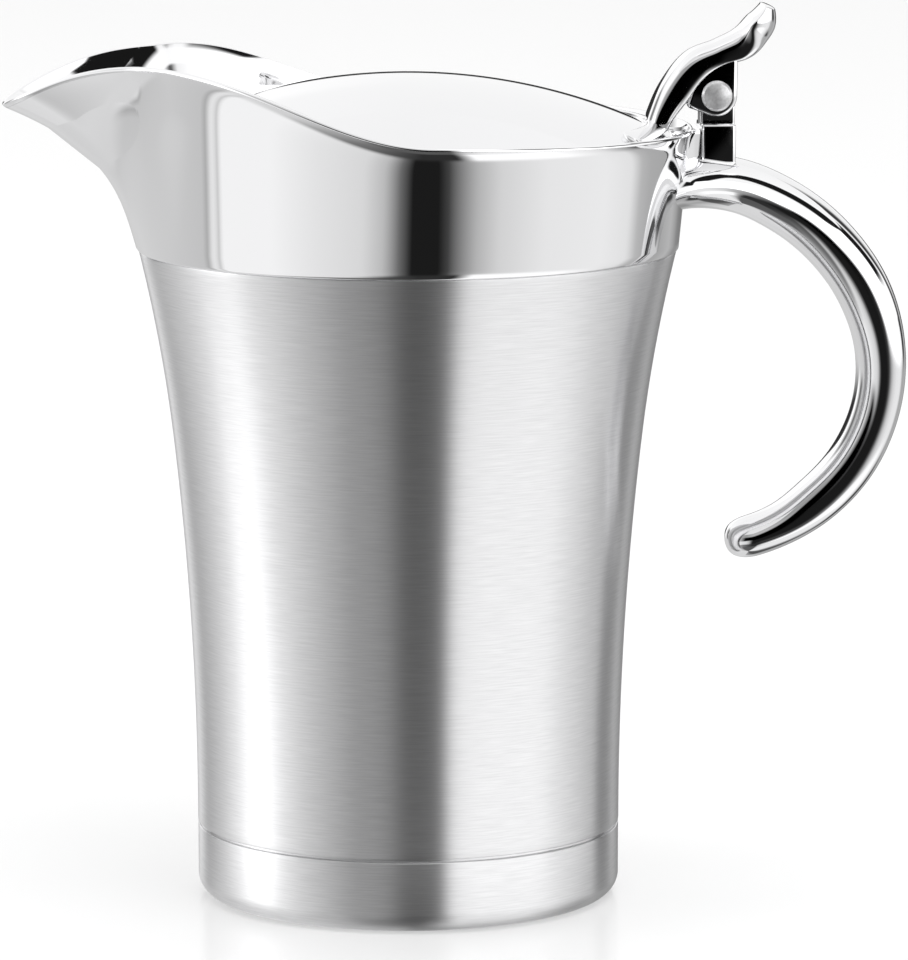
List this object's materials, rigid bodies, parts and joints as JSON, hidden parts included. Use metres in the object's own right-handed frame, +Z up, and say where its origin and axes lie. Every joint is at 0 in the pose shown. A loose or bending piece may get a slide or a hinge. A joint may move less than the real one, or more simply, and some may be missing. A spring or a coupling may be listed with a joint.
{
  "type": "insulated gravy boat",
  "caption": "Double walled stainless steel gravy boat with a flared pouring lip, a hinged domed lid with a thumb lever and a hook handle fixed at its top",
  "frame": {"origin": "centre of the foot ring, on the surface it stands on", "axes": "+Z up, -X towards the pouring lip, +X towards the handle, +Y to the pourer's left when the lip points away"},
  "size_m": [0.1804, 0.114, 0.179],
  "materials": {
    "brushed_shell": "stainless steel brushed round the body",
    "satin_inner": "satin stainless steel",
    "polished_collar": "mirror polished stainless steel",
    "polished_lid": "mirror polished stainless steel",
    "polished_casting": "polished cast stainless steel",
    "plain_hardware": "plain steel",
    "satin_pin": "satin steel"
  },
  "bodies": {
    "vessel": {"outer_shell": "brushed_shell", "base_cap": "brushed_shell", "inner_cup": "satin_inner", "spout_collar": "polished_collar", "throat_liner": "polished_collar", "handle": "polished_casting", "handle_backing_plate": "plain_hardware", "handle_screws": "plain_hardware", "hinge_post": "polished_casting"},
    "lid": {"lid_shell": "polished_lid", "lid_lever": "polished_casting", "lever_screws": "plain_hardware", "hinge_pin": "satin_pin"}
  },
  "joints": [
    {"name": "lid_hinge", "type": "hinge", "parent": "vessel", "child": "lid", "pos_m": [0.0611, 0, 0.1611], "axis": [0, 1, 0], "range_deg": [0, 98]}
  ]
}
